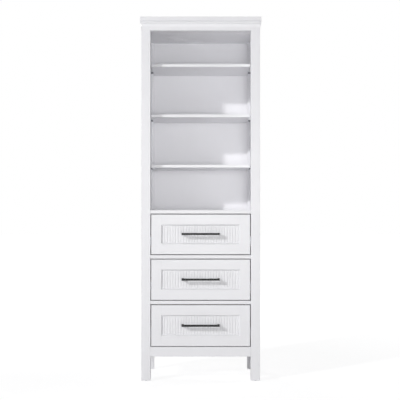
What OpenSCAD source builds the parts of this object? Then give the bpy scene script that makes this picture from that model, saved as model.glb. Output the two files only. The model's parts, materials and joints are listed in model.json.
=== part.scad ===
// Bathroom storage tower: a free-standing painted cabinet on four legs, with an open
// bay of three shelves above three inset drawers. Each drawer has a five-piece front
// with a reeded panel, a square bar pull and a box on full-extension slides.
// Millimetres, +Z up, the front faces -Y. The origin is on the floor, at the middle
// of the overall width and of the overall depth, handles included.

/* [Body] */
// Width across the outer faces of the posts
body_w = 596; // [520:1:760]
// Height from the floor to the top of the cap
total_h = 1829; // [1780:1:2100]
// Clear height under the bottom rails
leg_h = 124; // [60:1:150]

/* [Cap and moulding] */
// Thickness of the cap
cap_t = 21; // [16:1:30]
// How far the cap stands out past the front and the sides
cap_overhang = 7; // [6:0.5:20]
// Height of the bed moulding under the cap
moulding_h = 33; // [24:1:40]
// How far the bed moulding stands out from the posts
moulding_out = 6.5; // [4:0.5:12]
// Height of the upright band at the top of the moulding
moulding_band_h = 8.5; // [3:0.5:12]
// Thickness of the moulding's lower edge
moulding_edge = 0.8; // [0.5:0.1:1.5]
// Height of the shadow groove between cap and moulding
quirk_h = 4; // [1:0.5:5]
// Depth of the shadow groove, in from the moulding's face
quirk_d = 5.5; // [1:0.5:6]

/* [Posts and rails] */
// Width of each post, seen from the front
post_w = 46; // [40:1:60]
// Depth of each post, front to back
post_d = 46; // [42:1:60]
// Height of the top and bottom rails, all round
wide_rail_h = 48; // [40:1:70]
// Height of the middle rails of the sides and the back
middle_rail_h = 48; // [36:1:70]
// Height of the slim rails above and between the drawers
slim_rail_h = 18; // [16:1:30]
// Thickness of the front rails
frame_t = 22; // [20:1:28]
// Thickness of the side rails
side_rail_t = 20; // [18:1:24]
// Thickness of the back rails
back_rail_t = 18; // [16:1:22]
// Length of a rail's tenon
tenon_l = 16; // [10:1:18]
// Thickness of a tenon
tenon_t = 8; // [6:1:10]
// Shoulder above and below a tenon
tenon_shoulder = 4; // [2:1:5]
// Room left at the bottom of a mortise
mortise_room = 1; // [0.5:0.5:2]
// Hairline between members that are mitred or coped together
joint_line = 0.1; // [0.05:0.05:0.2]

/* [Sides and back] */
// Thickness of the liners inside the side walls
liner_t = 12; // [12:1:14]
// Thickness of the outer side panels
side_panel_t = 9; // [6:1:10]
// How far the side panels lie back from the posts' outer faces
side_panel_inset = 7; // [4:1:8]
// Thickness of the back panel
back_t = 6; // [4:1:8]
// Depth of the grooves in posts, rails and drawer fronts that hold the panels
groove_d = 8; // [5:1:9]
// Room between a panel's edge and the bottom of its groove
groove_room = 0.5; // [0.2:0.1:1]

/* [Fixed boards and shelves] */
// Thickness of the top, deck and bottom boards
board_t = 18; // [15:1:22]
// Depth of the housings in the liners that carry these boards
housing_d = 6; // [3:1:8]
// Thickness of the boards' tongues in these housings
tongue_t = 12; // [8:1:14]
// Width of the packing battens between the top board and the cap
batten_w = 40; // [25:1:60]
// Thickness of the shelves
shelf_t = 15; // [12:1:22]
// Height of the bay between the deck and the lowest shelf
lowest_bay_h = 216; // [120:1:240]
// Height of the bay above the highest shelf
highest_bay_h = 158; // [100:1:240]
// How far the shelves lie back from the face of the posts
shelf_recess = 54; // [30:1:90]
// How much shorter than the opening a shelf is at each end
shelf_end_gap = 1; // [0.5:0.5:2]
// Gap between a shelf and the back panel
shelf_back_gap = 4; // [0.5:0.5:8]

/* [Shelf pins] */
// Radius of a pin's shank
pin_r = 2.5; // [2.5:0.5:3.5]
// Radial clearance of a pin in its hole
pin_fit = 0.05; // [0.02:0.01:0.1]
// Length of a pin's shank
pin_l = 9; // [6:1:10]
// Width of a pin's heel and tongue, front to back
pin_w = 8; // [7:1:12]
// Height of the heel that stands out from the liner
pin_heel_h = 9; // [8:1:12]
// Gap between the heel and the end of the shelf
pin_heel_gap = 3; // [1:0.5:4]
// Thickness of the tongue that carries the shelf
pin_tongue_t = 3; // [2:0.5:4]
// How far the tongue reaches into the end of the shelf
pin_tongue_l = 8; // [6:1:12]
// Room round a tongue in its slot in the shelf
slot_room = 0.5; // [0.3:0.1:1]
// Distance of the front pins from the face of the posts
pin_front_in = 80; // [70:1:140]
// Distance of the rear pins from the back panel
pin_back_in = 51; // [40:1:80]

/* [Drawer fronts] */
// Height of the top drawer's opening
opening_1_h = 208; // [190:1:216]
// Height of the middle drawer's opening
opening_2_h = 211; // [190:1:220]
// Height of the bottom drawer's opening
opening_3_h = 214; // [190:1:224]
// Gap all round a drawer front
front_gap = 4; // [2:0.5:5]
// Thickness of a drawer front
front_t = 20; // [18:1:22]
// Width of the flat face of the front's stiles and rails
front_flat_w = 50; // [40:1:60]
// Width of the bevel along their inner edges
bevel_w = 6.5; // [4:0.5:8]
// Depth of the reeds' crests behind the face of the front
panel_drop = 6.5; // [4:0.5:7]
// Thickness of the panel behind its reeds
panel_t = 6; // [5:0.5:7]
// Nearest spacing of the reeds
reed_pitch = 13.75; // [8:0.25:20]
// Height of a reed
reed_h = 2; // [1:0.25:2.5]
// Flat between two reeds
reed_gap = 0.5; // [0.3:0.1:1]
// Height of the plain ground that the reeds stand on
reed_ground = 0.3; // [0.2:0.1:0.5]

/* [Drawer boxes] */
// Thickness of the box's sides and ends
box_side_t = 12; // [12:1:15]
// Thickness of the box's bottom
box_bottom_t = 6; // [4:1:8]
// Height of the bottom's underside above the box's lower edge
box_bottom_up = 12; // [8:1:20]
// Depth of the grooves that hold the bottom
box_groove_d = 6; // [4:1:7]
// Room between the box and the back panel
box_behind = 20; // [5:1:40]
// Room between the lower edge of the opening and the box
box_under = 14; // [8:1:20]
// Room between the box and the upper edge of the opening
box_over = 30; // [16:1:40]

/* [Drawer slides] */
// Length of the slides, a standard size, on which the depth of the body depends
slide_l = 300; // [250:50:450]
// Height of the outer channel
slide_h = 45; // [35:1:50]
// Room between packing and box that a slide fills
slide_w = 12.7; // [12.7:0.1:13.5]
// Thickness of the channels' steel
slide_wall = 1.2; // [1:0.1:1.4]
// Running gap between the flanges of nested channels
slide_fit = 0.35; // [0.2:0.05:0.5]
// Gap between a channel's lips and the next channel's web
slide_lip_gap = 0.4; // [0.3:0.1:0.6]
// Room between the outer channel's lips and the box
slide_lip_room = 2.7; // [2:0.1:4]
// Distance from the back of the drawer front to the slides
slide_setback = 5; // [2:1:8]
// Height of a slide's middle above the box's lower edge
slide_up = 55; // [45:1:80]
// How far the box runs on behind its slides
box_tail = 5; // [0:1:10]
// Distance of a slide's screws from its ends
slide_screw_in = 37; // [35:1:60]
// Height of the packing strip between a slide and the liner
packing_h = 60; // [50:1:90]

/* [Handles] */
// Length of a handle
handle_l = 190; // [96:1:260]
// Thickness of a handle's square bar and feet
handle_bar = 10; // [9:0.5:14]
// How far a handle stands out from the reeds' crests
handle_out = 34; // [28:1:45]
// Height of a handle above the middle of its drawer
handle_up = 2.5; // [0:0.5:20]

/* [Fasteners and feet] */
// Radius of the shanks of handle, front and cap screws
screw_r = 2; // [1.5:0.1:2.2]
// Radius of the shanks of slide screws
slide_screw_r = 1.75; // [1.5:0.05:2]
// Radius of a screw's head
screw_head_r = 4; // [3.5:0.1:4.5]
// Height of a pan head
screw_head_h = 2.4; // [2:0.1:3]
// Radius of the flat on top of a pan head
screw_flat_r = 2.8; // [2.4:0.1:3.2]
// Height of a slide screw's flat head
slide_head_h = 1.6; // [1.2:0.1:1.8]
// Room above a slide screw's head
slide_head_room = 0.6; // [0.4:0.1:0.8]
// Radial clearance of a screw in a hole that it passes through
pass_fit = 0.25; // [0.15:0.05:0.4]
// Radial clearance of a screw in the hole that it grips
grip_fit = 0.05; // [0.02:0.01:0.1]
// Room at the bottom of a blind hole
tip_room = 0.5; // [0.3:0.1:1]
// How deep a screw grips in a board, front or handle
grip_l = 10; // [8:0.5:11]
// Distance of the front-fixing screws from the box's upper and lower edges
front_screw_in = 30; // [20:1:50]
// Distance of the cap screws from the posts
cap_screw_in = 60; // [30:1:120]
// Spacing of the pilot holes for an anti-tip strap
anchor_spacing = 200; // [100:1:300]
// Radius of these pilot holes
anchor_hole_r = 1.5; // [1.2:0.1:2]
// Depth of these pilot holes
anchor_hole_l = 14; // [8:1:15]
// Radius of a foot glide
glide_r = 11; // [8:1:16]
// Height of a foot glide
glide_h = 3; // [2:0.5:6]
// Bevel round a glide's lower edge
glide_bevel = 1; // [0.5:0.5:1.5]
// Radius of a glide's nail
nail_r = 1.25; // [1:0.05:1.5]
// Length of a glide's nail
nail_l = 15; // [10:1:25]

/* [Hidden] */

paint = [0.92, 0.92, 0.94];
black = [0.15, 0.15, 0.16];
zinc = [0.74, 0.75, 0.77];
birch = [0.83, 0.72, 0.55];

// How far a cut runs past the face that it opens
over = 1;
// Facets of drawn circles, and steps of a drawn arc
$fn = 32;
arc_steps = 8;
SIDES = [-1, 1];
DRAWERS = [0, 1, 2];
SHELVES = [0, 1, 2];

// Widths, measured from the middle
half_w = body_w / 2;
open_x = half_w - post_w;
liner_x = half_w - side_rail_t - liner_t;
shelf_x = open_x - shelf_end_gap;
front_x = open_x - front_gap;
field_x = front_x - front_flat_w - bevel_w;
box_x = open_x - slide_w;
box_in_x = box_x - box_side_t;
handle_foot_x = (handle_l - handle_bar) / 2;
front_screw_x = (field_x + groove_d + box_in_x) / 2;
cap_screw_x = open_x - cap_screw_in;

// Depths, measured back from the face of the posts
groove_y = panel_drop + reed_h + reed_ground;
slide_y = front_t + slide_setback;
box_end_y = slide_y + slide_l + box_tail;
back_y = box_end_y + box_behind;
body_d = back_y + back_t + back_rail_t;
rear_post_y = body_d - post_d;
slide_screw_ys = [slide_y + slide_screw_in, slide_y + slide_l - slide_screw_in];
pin_ys = [pin_front_in, back_y - pin_back_in];
batten_ys = [frame_t, back_y - batten_w];
handle_reach = handle_out - panel_drop;
face_y = -(body_d - max(handle_reach, cap_overhang)) / 2;

// Heights from the floor
cap_z = total_h - cap_t;
top_z = cap_z - wide_rail_h;
bottom_z = leg_h + wide_rail_h;
opening_h = [opening_1_h, opening_2_h, opening_3_h];
opening_z = [
    bottom_z + opening_3_h + opening_2_h + 2 * slim_rail_h,
    bottom_z + opening_3_h + slim_rail_h,
    bottom_z
];
deck_z = opening_z[0] + opening_1_h + slim_rail_h;
highest_shelf_z = top_z - highest_bay_h - shelf_t;
lowest_shelf_z = deck_z + lowest_bay_h;
shelf_pitch = (highest_shelf_z - lowest_shelf_z) / (len(SHELVES) - 1);
anchor_z = top_z + wide_rail_h / 2;

// Each rail as its underside and its height
slim_rails = [for (i = DRAWERS) [opening_z[i] + opening_h[i], slim_rail_h]];
tenoned_front_rails = concat(slim_rails, [[leg_h, wide_rail_h]]);
side_rails = [
    [leg_h, wide_rail_h],
    [deck_z - (slim_rail_h + middle_rail_h) / 2, middle_rail_h],
    [top_z, wide_rail_h]
];
board_zs = [bottom_z - board_t, deck_z - board_t, top_z];

// Slide channels, measured in from the packing
middle_u = slide_wall + slide_head_h + slide_head_room;
middle_lip_u = slide_w - slide_wall - slide_lip_gap;
runner_lip_u = middle_u + slide_wall + slide_lip_gap;
nest = slide_wall + slide_fit;

function shelf_z(i) = highest_shelf_z - i * shelf_pitch;
function pin_z(i) = shelf_z(i) + shelf_t / 2;
function front_z(i) = opening_z[i] + front_gap;
function front_h(i) = opening_h[i] - 2 * front_gap;
function middle_z(i) = opening_z[i] + opening_h[i] / 2;
function handle_z(i) = middle_z(i) + handle_up;
function box_z(i) = opening_z[i] + box_under;
function box_top_z(i) = opening_z[i] + opening_h[i] - box_over;
function slide_z(i) = box_z(i) + slide_up;
function front_screw_zs(i) = [box_z(i) + front_screw_in, box_top_z(i) - front_screw_in];

// ---- helpers ----

// Colour, and the shift from the face of the posts to the part's own origin
module finish(tone) color(tone) translate([0, face_y, 0]) children();

module block(low, high) translate(low) cube(high - low);

// What is drawn for the right side, on the side given by side = -1 or 1
module on_side(side) {
    if (side > 0) children();
    else mirror([1, 0, 0]) children();
}

module both_sides() for (side = SIDES) on_side(side) children();

// A bar of section points (x, z) that runs back from y0 to y1
module bar_y(points, y0, y1) {
    translate([0, y1, 0]) rotate([90, 0, 0]) linear_extrude(height = y1 - y0) polygon(points);
}

// A bar of section points (y, z) that runs across from -x to x
module bar_x(points, x) {
    rotate([90, 0, 90]) linear_extrude(height = 2 * x, center = true) polygon(points);
}

module hole_x(x0, x1, y, z, r) translate([x0, y, z]) rotate([0, 90, 0]) cylinder(h = x1 - x0, r = r);
module hole_y(x, y0, y1, z, r) translate([x, y1, z]) rotate([90, 0, 0]) cylinder(h = y1 - y0, r = r);
module hole_z(x, y, z0, z1, r) translate([x, y, z0]) cylinder(h = z1 - z0, r = r);

// A screw along +Z: its head below z = 0, its shank above
module pan_screw(r, head_h, length) {
    rotate_extrude() polygon([
        [0, -head_h], [screw_flat_r, -head_h], [screw_head_r, -head_h / 2],
        [screw_head_r, 0], [r, 0], [r, length - r], [0, length]
    ]);
}

// A screw along +Z whose flat head is sunk flush at z = 0
module sunk_screw(r, length) {
    rotate_extrude() polygon([
        [0, 0], [screw_head_r, 0], [r, screw_head_r - r], [r, length - r], [0, length]
    ]);
}

// ---- cap ----

module cap_holes() {
    both_sides() for (y = batten_ys)
        hole_z(cap_screw_x, y + batten_w / 2, cap_z - over, cap_z + grip_l + tip_room, screw_r + grip_fit);
}

module top_cap() finish(paint) difference() {
    block([-half_w - cap_overhang, -cap_overhang, cap_z], [half_w + cap_overhang, body_d, total_h]);
    cap_holes();
}

// Section of the bed moulding, as how far out and how far below the cap: the shadow
// groove, an upright band, and a hollow that falls back to the thin lower edge
cove_z = quirk_h + moulding_band_h;
quirk_out = max(moulding_out - quirk_d, moulding_edge);
moulding_section = concat(
    [[0, 0], [quirk_out, 0], [quirk_out, -quirk_h], [moulding_out, -quirk_h]],
    [for (i = [0:arc_steps]) let (a = 90 * i / arc_steps)
        [moulding_edge + (moulding_out - moulding_edge) * (1 - sin(a)),
         -cove_z - (moulding_h - cove_z) * (1 - cos(a))]],
    [[0, -moulding_h]]
);

module cap_moulding() finish(paint) {
    corner_x = half_w + moulding_out;
    // The front length, mitred at both ends
    intersection() {
        bar_x([for (p = moulding_section) [-p[0], cap_z + p[1]]], corner_x);
        translate([0, 0, cap_z - moulding_h]) linear_extrude(height = moulding_h) polygon([
            [joint_line - half_w, 0], [half_w - joint_line, 0],
            [corner_x - joint_line, -moulding_out], [joint_line - corner_x, -moulding_out]
        ]);
    }
    // The side lengths, mitred in front
    both_sides() intersection() {
        bar_y([for (p = moulding_section) [half_w + p[0], cap_z + p[1]]], -moulding_out, body_d);
        translate([0, 0, cap_z - moulding_h]) linear_extrude(height = moulding_h) polygon([
            [half_w, 0], [corner_x, -moulding_out], [corner_x, body_d], [half_w, body_d]
        ]);
    }
}

module cap_battens() finish(paint) difference() {
    for (y = batten_ys)
        block([-open_x, y, top_z + board_t], [open_x, y + batten_w, cap_z]);
    both_sides() for (y = batten_ys)
        hole_z(cap_screw_x, y + batten_w / 2, top_z, cap_z + over, screw_r + pass_fit);
}

module cap_screws() finish(zinc) {
    both_sides() for (y = batten_ys)
        translate([cap_screw_x, y + batten_w / 2, top_z]) sunk_screw(screw_r, cap_z - top_z + grip_l);
}

// ---- posts and rails ----

// Front of the top rail, whose ends are mitred from inner to outer corner
top_rail_front = [[-open_x, top_z], [open_x, top_z], [half_w, cap_z], [-half_w, cap_z]];

module front_tenon(rail, x0, x1) {
    block([x0, (frame_t - tenon_t) / 2, rail[0] + tenon_shoulder],
          [x1, (frame_t + tenon_t) / 2, rail[0] + rail[1] - tenon_shoulder]);
}

module side_tenon(rail, y0, y1) {
    block([half_w - (side_rail_t + tenon_t) / 2, y0, rail[0] + tenon_shoulder],
          [half_w - (side_rail_t - tenon_t) / 2, y1, rail[0] + rail[1] - tenon_shoulder]);
}

module back_tenon(rail, x0, x1) {
    block([x0, body_d - (back_rail_t + tenon_t) / 2, rail[0] + tenon_shoulder],
          [x1, body_d - (back_rail_t - tenon_t) / 2, rail[0] + rail[1] - tenon_shoulder]);
}

// Groove for the side panels, along the faces that front and rear posts turn to each other
module side_groove() {
    block([half_w - side_panel_inset - side_panel_t, post_d - groove_d, bottom_z - groove_d],
          [half_w - side_panel_inset, rear_post_y + groove_d, top_z + groove_d]);
}

module nail_hole(y) {
    hole_z(half_w - post_w / 2, y, glide_h - over, glide_h + nail_l + tip_room, nail_r + grip_fit);
}

module post_front(side) finish(paint) on_side(side) difference() {
    block([open_x, 0, glide_h], [half_w, post_d, cap_z]);
    bar_y([[open_x - over, top_z], [open_x, top_z], [half_w, cap_z], [half_w, cap_z + over],
           [open_x - over, cap_z + over]], -over, frame_t);
    for (rail = tenoned_front_rails) front_tenon(rail, open_x - over, open_x + tenon_l + mortise_room);
    for (rail = side_rails) side_tenon(rail, post_d - tenon_l - mortise_room, post_d + over);
    side_groove();
    nail_hole(post_d / 2);
}

module post_rear(side) finish(paint) on_side(side) difference() {
    block([open_x, rear_post_y, glide_h], [half_w, body_d, cap_z]);
    block([open_x - over, back_y, leg_h], [open_x + groove_d, back_y + back_t, cap_z + over]);
    for (rail = side_rails) {
        back_tenon(rail, open_x - over, open_x + tenon_l + mortise_room);
        side_tenon(rail, rear_post_y - over, rear_post_y + tenon_l + mortise_room);
    }
    side_groove();
    nail_hole(rear_post_y + post_d / 2);
}

module top_rail() finish(paint) bar_y(top_rail_front, 0, frame_t);

module front_rail(rail) finish(paint) {
    block([-open_x, 0, rail[0]], [open_x, frame_t, rail[0] + rail[1]]);
    front_tenon(rail, -open_x - tenon_l, open_x + tenon_l);
}

module side_rails_at(side) finish(paint) on_side(side) difference() {
    for (rail = side_rails) {
        block([half_w - side_rail_t, post_d, rail[0]], [half_w, rear_post_y, rail[0] + rail[1]]);
        side_tenon(rail, post_d - tenon_l, rear_post_y + tenon_l);
    }
    for (i = [0:len(side_rails) - 2])
        block([half_w - side_panel_inset - side_panel_t, post_d - groove_d,
               side_rails[i][0] + side_rails[i][1] - groove_d],
              [half_w - side_panel_inset, rear_post_y + groove_d, side_rails[i + 1][0] + groove_d]);
}

module side_panels_at(side) finish(paint) on_side(side) {
    reach = groove_d - groove_room;
    for (i = [0:len(side_rails) - 2])
        block([half_w - side_panel_inset - side_panel_t, post_d - reach,
               side_rails[i][0] + side_rails[i][1] - reach],
              [half_w - side_panel_inset, rear_post_y + reach, side_rails[i + 1][0] + reach]);
}

module back_rails() finish(paint) difference() {
    for (rail = side_rails) {
        block([-open_x, body_d - back_rail_t, rail[0]], [open_x, body_d, rail[0] + rail[1]]);
        back_tenon(rail, -open_x - tenon_l, open_x + tenon_l);
    }
    both_sides() hole_y(anchor_spacing / 2, body_d - anchor_hole_l, body_d + over, anchor_z, anchor_hole_r);
}

module back_panel() finish(paint) {
    reach = open_x + groove_d - groove_room;
    block([-reach, back_y, leg_h], [reach, back_y + back_t, cap_z]);
}

// ---- liners, boards and shelves ----

module liner(side) finish(paint) on_side(side) difference() {
    block([liner_x, post_d, leg_h], [liner_x + liner_t, rear_post_y, cap_z]);
    for (z = board_zs)
        block([liner_x - over, post_d - over, z], [liner_x + housing_d, rear_post_y + over, z + tongue_t]);
    for (i = SHELVES) for (y = pin_ys)
        hole_x(liner_x - over, liner_x + pin_l + tip_room, y, pin_z(i), pin_r + pin_fit);
    slide_screw_holes();
}

module slide_screw_holes() {
    for (i = DRAWERS) for (y = slide_screw_ys)
        hole_x(open_x - over, open_x + grip_l + tip_room, y, slide_z(i), slide_screw_r + grip_fit);
}

// A board between front rail and back panel, notched round the posts, with tongues that
// are let into the liners
module board(z) {
    block([-open_x, frame_t, z], [open_x, back_y, z + board_t]);
    block([-liner_x, post_d, z], [liner_x, rear_post_y, z + board_t]);
    block([-liner_x - housing_d, post_d, z], [liner_x + housing_d, rear_post_y, z + tongue_t]);
}

module top_panel() finish(paint) difference() {
    board(top_z);
    both_sides() for (y = batten_ys) {
        hole_z(cap_screw_x, y + batten_w / 2, top_z - over, cap_z, screw_r + pass_fit);
        translate([cap_screw_x, y + batten_w / 2, top_z - over]) cylinder(
            h = over + screw_head_r - screw_r + pass_fit,
            r1 = screw_head_r + over + pass_fit,
            r2 = screw_r);
    }
}

module deck_panel() finish(paint) board(deck_z - board_t);

module bottom_panel() finish(paint) board(bottom_z - board_t);

// A shelf with slots in its ends, open underneath, that drop over the pins' tongues
module shelf(i) finish(paint) difference() {
    block([-shelf_x, shelf_recess, shelf_z(i)], [shelf_x, back_y - shelf_back_gap, shelf_z(i) + shelf_t]);
    both_sides() for (y = pin_ys)
        block([shelf_x - pin_tongue_l - slot_room, y - pin_w / 2 - slot_room, shelf_z(i) - over],
              [shelf_x + over, y + pin_w / 2 + slot_room, pin_z(i) + pin_tongue_t / 2]);
}

// A pin: a shank in the liner, a square heel against it and a tongue in the shelf's end
module shelf_pin(y, z) {
    heel_x = shelf_x + pin_heel_gap;
    hole_x((heel_x + liner_x) / 2, liner_x + pin_l, y, z, pin_r);
    block([heel_x, y - pin_w / 2, z - pin_heel_h / 2], [liner_x, y + pin_w / 2, z + pin_heel_h / 2]);
    block([shelf_x - pin_tongue_l, y - pin_w / 2, z - pin_tongue_t / 2],
          [(heel_x + liner_x) / 2, y + pin_w / 2, z + pin_tongue_t / 2]);
}

module shelf_pins() finish(zinc) both_sides() for (i = SHELVES) for (y = pin_ys) shelf_pin(y, pin_z(i));

module foot_glides() finish(black) both_sides() for (y = [post_d / 2, rear_post_y + post_d / 2])
    translate([half_w - post_w / 2, y, 0]) rotate_extrude() polygon([
        [0, 0], [glide_r - glide_bevel, 0], [glide_r, glide_bevel], [glide_r, glide_h],
        [nail_r, glide_h], [nail_r, glide_h + nail_l - nail_r], [0, glide_h + nail_l]
    ]);

// ---- slides ----

// Section (x, z) of a channel whose web is at u_web and whose lips end at u_lip
function channel(u_web, u_lip, h, z) =
    let (s = u_lip > u_web ? 1 : -1, web = u_web + s * slide_wall, flange = h / 2 - slide_wall)
    [for (p = [[u_web, -h / 2], [u_lip, -h / 2], [u_lip, -flange], [web, -flange],
               [web, flange], [u_lip, flange], [u_lip, h / 2], [u_web, h / 2]])
        [open_x - p[0], z + p[1]]];

// Strips that bring the slides out to the line of the posts
module slide_packings() finish(birch) both_sides() difference() {
    for (i = DRAWERS)
        block([open_x, post_d, slide_z(i) - packing_h / 2], [liner_x, rear_post_y, slide_z(i) + packing_h / 2]);
    slide_screw_holes();
}

module slides_outer() finish(zinc) both_sides() for (i = DRAWERS) difference() {
    bar_y(channel(0, slide_w - slide_lip_room, slide_h, slide_z(i)), slide_y, slide_y + slide_l);
    for (y = slide_screw_ys)
        hole_x(open_x - slide_w, open_x + over, y, slide_z(i), slide_screw_r + pass_fit);
}

module slide_middle(i) finish(zinc) both_sides() {
    bar_y(channel(middle_u, middle_lip_u, slide_h - 2 * nest, slide_z(i)), slide_y, slide_y + slide_l);
}

module drawer_runners(i) finish(zinc) both_sides() difference() {
    bar_y(channel(slide_w, runner_lip_u, slide_h - 4 * nest, slide_z(i)), slide_y, slide_y + slide_l);
    for (y = slide_screw_ys)
        hole_x(box_x - over, open_x, y, slide_z(i), slide_screw_r + pass_fit);
}

module slide_screws() finish(zinc) both_sides() for (i = DRAWERS) for (y = slide_screw_ys)
    translate([open_x - slide_wall, y, slide_z(i)]) rotate([0, 90, 0])
        pan_screw(slide_screw_r, slide_head_h, slide_wall + grip_l);

// ---- drawers ----

// Plan (x, y) of the front's right stile: flat face, bevel, and groove for the panel.
// With a gap, it is the space that the ends of the rails keep free round the stile
function stile_plan(gap) = [for (p = [
    [front_x, 0], [front_x, front_t], [field_x, front_t],
    [field_x, groove_y + panel_t - gap], [field_x + groove_d, groove_y + panel_t - gap],
    [field_x + groove_d, groove_y + gap], [field_x, groove_y + gap],
    [field_x, panel_drop], [field_x + bevel_w, 0]
]) [p[0] - gap, p[1]]];

module front_stiles(i, gap) {
    both_sides() translate([0, 0, front_z(i)]) linear_extrude(height = front_h(i)) polygon(stile_plan(gap));
}

// Section (y, z) of a front's rail: the stile's plan, laid on its side. The rails' ends
// are coped over the stiles' bevels, with a tongue in their grooves
module front_rails(i) {
    for (up = SIDES)
        bar_x([for (p = stile_plan(0))
            [p[1], middle_z(i) + up * (front_h(i) / 2 - front_x + p[0])]], front_x - front_flat_w);
}

module front_screw_places(i) {
    both_sides() for (z = front_screw_zs(i)) translate([front_screw_x, front_t + box_side_t, z])
        rotate([90, 0, 0]) children();
}

module drawer_frame(i) finish(paint) difference() {
    union() {
        front_stiles(i, 0);
        difference() {
            front_rails(i);
            front_stiles(i, joint_line);
        }
    }
    both_sides() for (z = front_screw_zs(i))
        hole_y(front_screw_x, front_t - grip_l - tip_room, front_t + over, z, screw_r + grip_fit);
}

// Round reeds side by side across the field, each a slice of a round bar
reeds = round(2 * field_x / reed_pitch);
reed_step = 2 * field_x / reeds;
reed_half_w = (reed_step - reed_gap) / 2;
reed_round_r = (reed_half_w * reed_half_w + reed_h * reed_h) / (2 * reed_h);

// Plan of one reed, its crest at y = 0 and its foot sunk into the ground
module reed_plan() intersection() {
    translate([0, reed_round_r]) circle(r = reed_round_r);
    translate([-reed_step, 0]) square([2 * reed_step, reed_h + reed_ground]);
}

module drawer_panel(i) finish(paint) {
    reach = groove_d - groove_room;
    field_z = front_z(i) + front_flat_w + bevel_w;
    field_h = front_h(i) - 2 * (front_flat_w + bevel_w);
    difference() {
        union() {
            block([-field_x - reach, groove_y, field_z - reach],
                  [field_x + reach, groove_y + panel_t, field_z + field_h + reach]);
            translate([0, 0, field_z]) linear_extrude(height = field_h) {
                translate([-field_x, groove_y - reed_ground]) square([2 * field_x, panel_t]);
                for (n = [0:reeds - 1])
                    translate([reed_step * (n + 0.5) - field_x, panel_drop]) reed_plan();
            }
        }
        both_sides() hole_y(handle_foot_x, 0, front_t, handle_z(i), screw_r + pass_fit);
    }
}

module drawer_sides(i) finish(birch) both_sides() difference() {
    block([box_in_x, front_t, box_z(i)], [box_x, box_end_y, box_top_z(i)]);
    bottom_groove(i);
    for (y = slide_screw_ys)
        hole_x(box_x - grip_l - tip_room, box_x + over, y, slide_z(i), slide_screw_r + grip_fit);
}

// Groove for the drawer's bottom, all round the inside of the box
module bottom_groove(i) {
    block([-box_in_x - box_groove_d, front_t + box_side_t - box_groove_d, box_z(i) + box_bottom_up],
          [box_in_x + box_groove_d, box_end_y - box_side_t + box_groove_d,
           box_z(i) + box_bottom_up + box_bottom_t]);
}

module drawer_ends(i) finish(birch) difference() {
    for (y = [front_t, box_end_y - box_side_t])
        block([-box_in_x, y, box_z(i)], [box_in_x, y + box_side_t, box_top_z(i)]);
    bottom_groove(i);
    both_sides() hole_y(handle_foot_x, 0, front_t + box_side_t + over, handle_z(i), screw_r + pass_fit);
    both_sides() for (z = front_screw_zs(i))
        hole_y(front_screw_x, 0, front_t + box_side_t + over, z, screw_r + pass_fit);
}

module drawer_bottom(i) finish(birch) {
    reach = box_groove_d - groove_room;
    block([-box_in_x - reach, front_t + box_side_t - reach, box_z(i) + box_bottom_up],
          [box_in_x + reach, box_end_y - box_side_t + reach, box_z(i) + box_bottom_up + box_bottom_t]);
}

module drawer_handle(i) finish(black) difference() {
    union() {
        block([-handle_l / 2, -handle_reach, handle_z(i) - handle_bar / 2],
              [handle_l / 2, handle_bar - handle_reach, handle_z(i) + handle_bar / 2]);
        for (x = [-handle_foot_x, handle_foot_x])
            block([x - handle_bar / 2, -handle_reach, handle_z(i) - handle_bar / 2],
                  [x + handle_bar / 2, panel_drop, handle_z(i) + handle_bar / 2]);
    }
    both_sides() hole_y(handle_foot_x, panel_drop - grip_l - tip_room, panel_drop + over,
                        handle_z(i), screw_r + grip_fit);
}

module drawer_screws(i) finish(zinc) {
    // Through box and panel into the handle's feet
    both_sides() translate([handle_foot_x, front_t + box_side_t, handle_z(i)]) rotate([90, 0, 0])
        pan_screw(screw_r, screw_head_h, front_t + box_side_t - panel_drop + grip_l);
    // Through the box into the drawer front
    front_screw_places(i) pan_screw(screw_r, screw_head_h, box_side_t + grip_l);
    // Through the runners into the box's sides
    both_sides() for (y = slide_screw_ys) translate([box_x + slide_wall, y, slide_z(i)])
        rotate([0, -90, 0]) pan_screw(slide_screw_r, slide_head_h, slide_wall + grip_l);
}

// ---- the parts ----

top_cap();
cap_moulding();
cap_battens();
cap_screws();
post_front(-1);  // post_front_left
post_front(1);  // post_front_right
post_rear(-1);  // post_rear_left
post_rear(1);  // post_rear_right
top_rail();
front_rail(slim_rails[0]);  // deck_rail
front_rail(slim_rails[1]);  // drawer_rail_upper
front_rail(slim_rails[2]);  // drawer_rail_lower
front_rail([leg_h, wide_rail_h]);  // bottom_rail
side_rails_at(-1);  // side_rails_left
side_rails_at(1);  // side_rails_right
side_panels_at(-1);  // side_panels_left
side_panels_at(1);  // side_panels_right
liner(-1);  // liner_left
liner(1);  // liner_right
back_rails();
back_panel();
top_panel();
deck_panel();
bottom_panel();
shelf_pins();
foot_glides();
slide_packings();
slides_outer();
slide_screws();

for (i = SHELVES) {
    shelf(i);
}

for (i = DRAWERS) {
    slide_middle(i);
    drawer_frame(i);
    drawer_panel(i);
    drawer_sides(i);
    drawer_ends(i);
    drawer_bottom(i);
    drawer_runners(i);
    drawer_handle(i);
    drawer_screws(i);
}
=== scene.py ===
# %% [markdown]
# # A bathroom storage tower
# The real thing is a tall painted cabinet on four legs: an open bay with three loose
# shelves, and below it three inset drawers with reeded fronts and black bar pulls.
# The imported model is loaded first. Each of its solids is an object whose place is in its
# mesh, in metres, with the floor at zero height and the drawers towards -Y, so every
# piece that is made here goes straight to where the cabinet has it.

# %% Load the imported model
import json
import math

import bmesh
import bpy
import numpy as np
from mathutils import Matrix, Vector
from mathutils.bvhtree import BVHTree

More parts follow.
